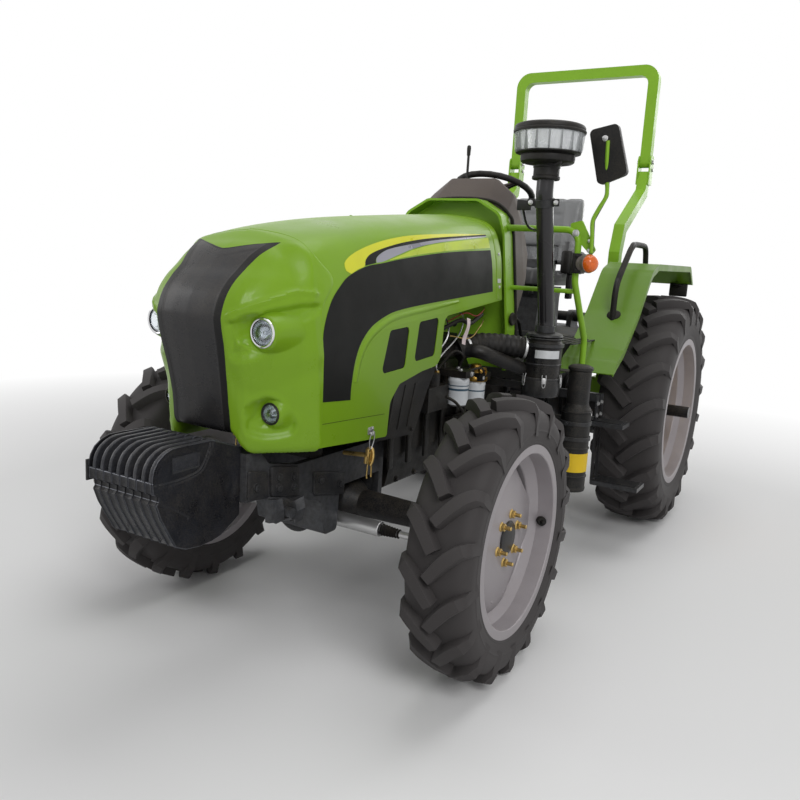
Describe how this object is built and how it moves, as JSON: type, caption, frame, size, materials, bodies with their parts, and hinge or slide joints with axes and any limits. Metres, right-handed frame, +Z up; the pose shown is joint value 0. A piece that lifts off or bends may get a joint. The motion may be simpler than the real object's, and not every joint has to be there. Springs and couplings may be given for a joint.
{
  "type": "wheeled farm tractor",
  "caption": "Four-wheel-drive ride-on farm tractor with tilting bonnet, front weights, folding roll-over frame, side air stack and rear three-point hitch.",
  "frame": {"origin": "on the ground at the centre of the machine's overall length and width", "axes": "+Z up, -Y ahead, +X to the tractor's left"},
  "size_m": [1.81, 3.995, 2.61],
  "materials": {
    "bonnet_paint": "gloss",
    "frame_paint": "gloss",
    "black_panel": "gloss",
    "cast_black": "satin",
    "black_paint": "satin",
    "bright_steel": "satin",
    "tyre_rubber": "matte",
    "silver_paint": "satin",
    "yellow_paint": "satin",
    "dash_plastic": "matte",
    "black_plastic": "satin",
    "lamp_plastic": "gloss",
    "seat_vinyl": "satin"
  },
  "bodies": {
    "chassis": {"air_cleaner": "black_paint", "axle_trumpets": "cast_black", "battery_box": "black_paint", "controls": "black_paint", "cowl": "bonnet_paint", "dash_cover": "dash_plastic", "drawbar": "black_paint", "engine_ancillaries": "black_paint", "engine_block": "cast_black", "fender_handles": "black_paint", "fender_left": "frame_paint", "fender_right": "frame_paint", "floor_platform": "black_paint", "front_axle_beam": "cast_black", "front_frame": "cast_black", "front_weights": "cast_black", "guard_rails": "frame_paint", "intake_stack": "black_paint", "mirror": "black_plastic", "muffler": "black_paint", "precleaner": "black_plastic", "radiator": "black_paint", "rear_axle_housing": "cast_black", "rops_posts": "frame_paint", "seat_backrest": "seat_vinyl", "seat_base": "black_paint", "seat_cushion": "seat_vinyl", "steering_column": "black_paint", "steering_cylinder": "black_paint", "steps": "black_paint", "transmission_housing": "cast_black", "turn_signals": "lamp_plastic"},
    "front_wheel_left": {"tyre_front_left": "tyre_rubber", "wheel_front_left": "silver_paint"},
    "rear_wheel_left": {"tyre_rear_left": "tyre_rubber", "rim_rear_left": "silver_paint", "wheel_centre_rear_left": "yellow_paint", "axle_shaft_left": "black_paint"},
    "knuckle_left": {"knuckle_left": "cast_black"},
    "front_wheel_right": {"tyre_front_right": "tyre_rubber", "wheel_front_right": "silver_paint"},
    "rear_wheel_right": {"tyre_rear_right": "tyre_rubber", "rim_rear_right": "silver_paint", "wheel_centre_rear_right": "yellow_paint", "axle_shaft_right": "black_paint"},
    "knuckle_right": {"knuckle_right": "cast_black"},
    "bonnet": {"bonnet_hood": "bonnet_paint", "bonnet_nose": "bonnet_paint", "nose_grille": "black_panel", "side_grilles": "black_panel", "headlamps": "lamp_plastic"},
    "steering_rod": {"steering_rod": "bright_steel"},
    "steering_wheel": {"steering_wheel": "black_plastic"},
    "rops_hoop": {"rops_hoop": "frame_paint"},
    "lift_arms": {"lift_arms": "black_paint"},
    "lower_links": {"lower_links": "bright_steel"},
    "lift_rods": {"lift_rods": "bright_steel"},
    "pto_shaft": {"pto_shaft": "bright_steel"}
  },
  "joints": [
    {"name": "bonnet_open", "type": "hinge", "parent": "chassis", "child": "bonnet", "pos_m": [0, -0.1945, 1.572], "axis": [-1, 0, 0], "range_deg": [0, 50]},
    {"name": "steer_left", "type": "hinge", "parent": "chassis", "child": "knuckle_left", "pos_m": [0.5, -1.0025, 0.487], "axis": [0, 0, 1], "range_deg": [-35, 35]},
    {"name": "steer_right", "type": "hinge", "parent": "chassis", "child": "knuckle_right", "pos_m": [-0.5, -1.0025, 0.487], "axis": [0, 0, 1], "range_deg": [-35.5, 35.5]},
    {"name": "steering_rod_slide", "type": "slide", "parent": "chassis", "child": "steering_rod", "axis": [1, 0, 0], "range_m": [-0.0752, 0.0752]},
    {"name": "steering_wheel_turn", "type": "hinge", "parent": "chassis", "child": "steering_wheel", "pos_m": [0, 0.2975, 1.755], "axis": [0, 0.342, 0.9397], "range_deg": [-317, 317]},
    {"name": "front_wheel_left_spin", "type": "hinge", "parent": "knuckle_left", "child": "front_wheel_left", "pos_m": [0.684, -1.0025, 0.487], "axis": [1, 0, 0], "continuous": true},
    {"name": "front_wheel_right_spin", "type": "hinge", "parent": "knuckle_right", "child": "front_wheel_right", "pos_m": [-0.684, -1.0025, 0.487], "axis": [1, 0, 0], "continuous": true},
    {"name": "rear_wheel_left_spin", "type": "hinge", "parent": "chassis", "child": "rear_wheel_left", "pos_m": [0.701, 1.1495, 0.64], "axis": [1, 0, 0], "continuous": true},
    {"name": "rear_wheel_right_spin", "type": "hinge", "parent": "chassis", "child": "rear_wheel_right", "pos_m": [-0.701, 1.1495, 0.64], "axis": [1, 0, 0], "continuous": true},
    {"name": "rops_fold", "type": "hinge", "parent": "chassis", "child": "rops_hoop", "pos_m": [0, 1.5455, 2.051], "axis": [-1, 0, 0], "range_deg": [0, 110]},
    {"name": "hitch_lift", "type": "hinge", "parent": "chassis", "child": "lift_arms", "pos_m": [0, 1.2975, 1.11], "axis": [1, 0, 0], "range_deg": [-30, 35]},
    {"name": "lift_rod_swing", "type": "hinge", "parent": "lift_arms", "child": "lift_rods", "pos_m": [0, 1.6025, 1.115], "axis": [1, 0, 0], "range_deg": [-36, 31]},
    {"name": "lower_link_swing", "type": "hinge", "parent": "chassis", "child": "lower_links", "pos_m": [0, 1.2875, 0.44], "axis": [1, 0, 0], "range_deg": [-26.5, 31]},
    {"name": "pto_spin", "type": "hinge", "parent": "chassis", "child": "pto_shaft", "pos_m": [0, 1.4375, 0.64], "axis": [0, 1, 0], "continuous": true}
  ],
  "couplings": [
    {"joint": "steer_right", "follows": "steer_left", "ratio": 1},
    {"joint": "steering_rod_slide", "follows": "steer_left", "m_per_rad": 0.1222},
    {"joint": "steering_wheel_turn", "follows": "steer_left", "ratio": 9},
    {"joint": "lift_rod_swing", "follows": "hitch_lift", "ratio": -1.02},
    {"joint": "lower_link_swing", "follows": "hitch_lift", "ratio": 0.87}
  ]
}
